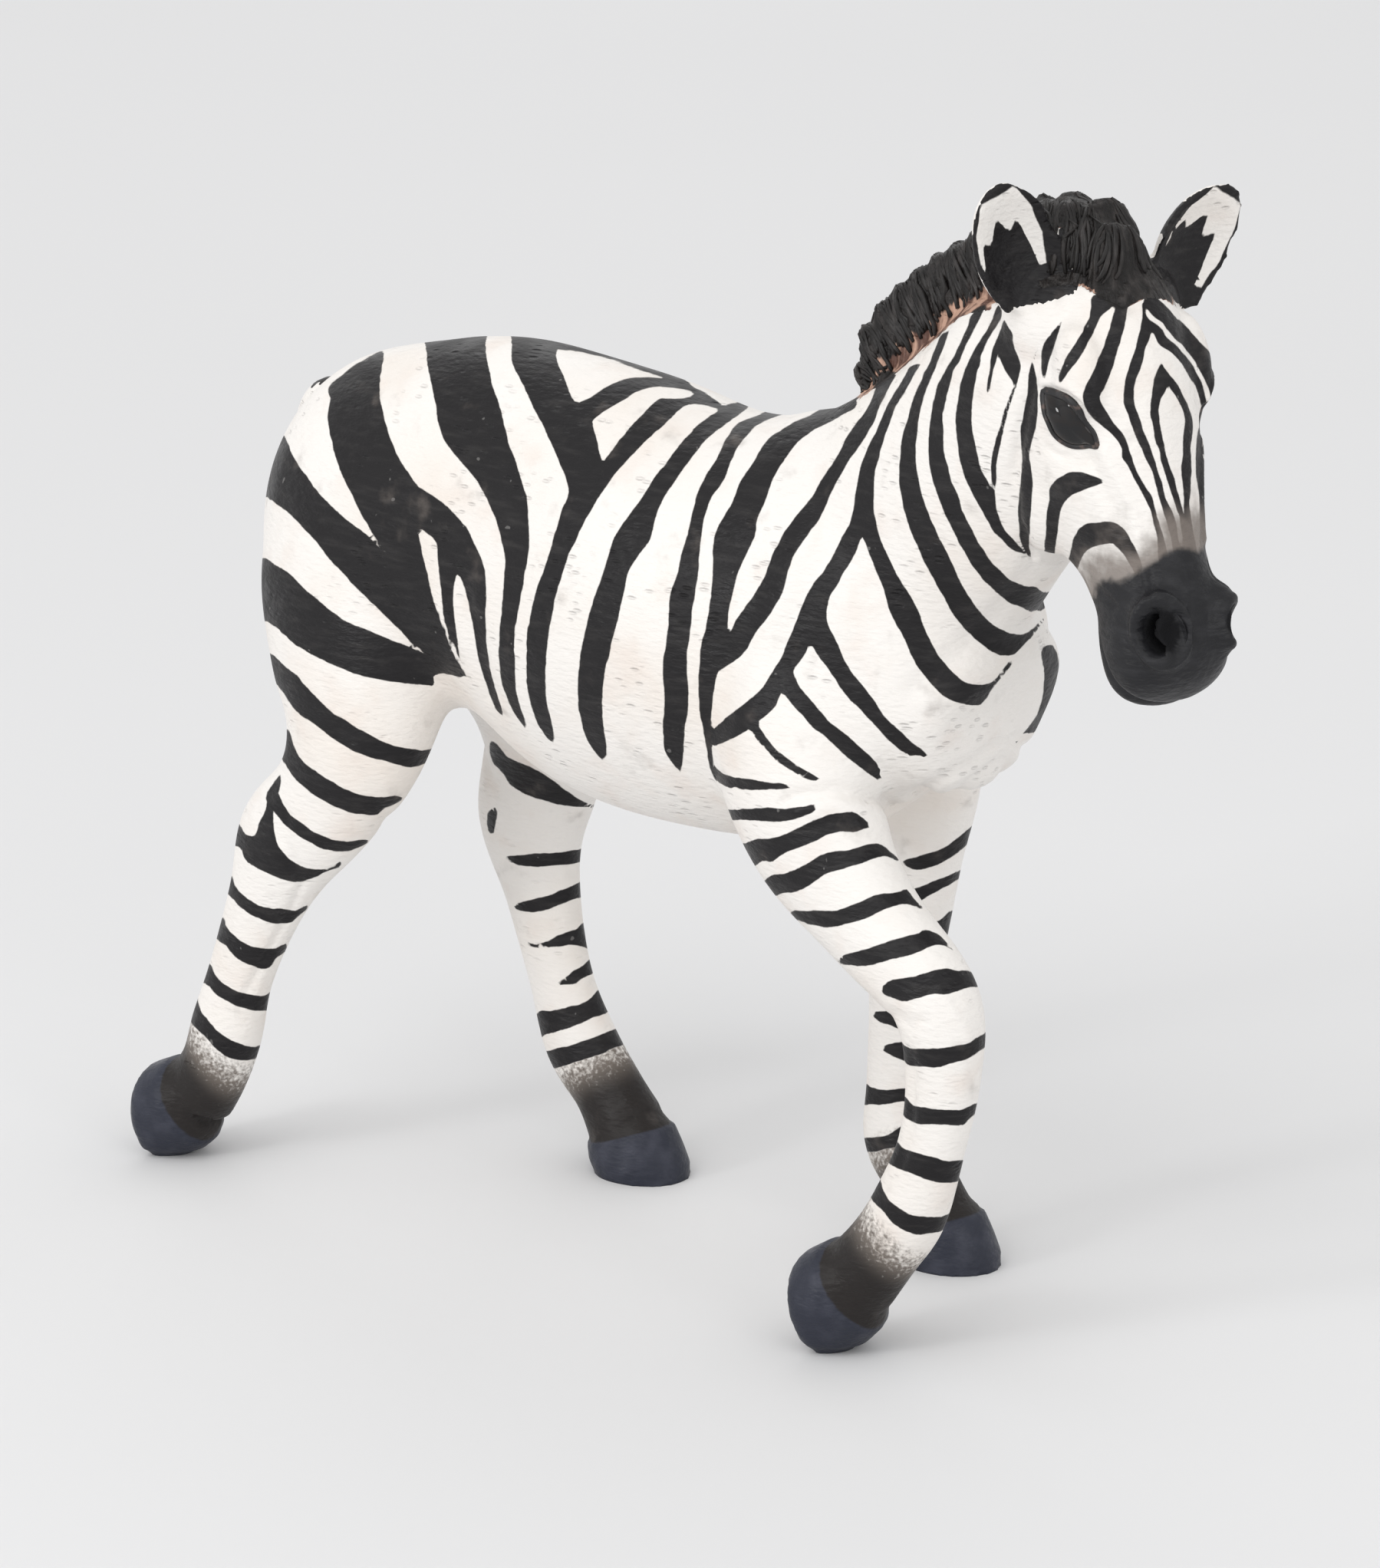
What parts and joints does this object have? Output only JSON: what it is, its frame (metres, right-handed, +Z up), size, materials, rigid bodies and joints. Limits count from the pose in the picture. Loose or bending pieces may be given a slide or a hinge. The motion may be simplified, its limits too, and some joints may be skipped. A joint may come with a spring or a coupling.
{
  "type": "zebra figurine",
  "caption": "Solid cast toy zebra in a walking pose, head turned to its right, with an upright brush mane, hanging tail and flat-cut soles.",
  "frame": {"origin": "middle of the bounding box's underside, on the surface the hooves stand on", "axes": "+X towards the zebra's front, +Y towards its left side, +Z up"},
  "size_m": [0.13, 0.0352, 0.1135],
  "materials": {
    "painted_plastic": "satin hand-painted white with black stripes"
  },
  "bodies": {
    "root": {"zebra_figurine": "painted_plastic"}
  },
  "joints": []
}
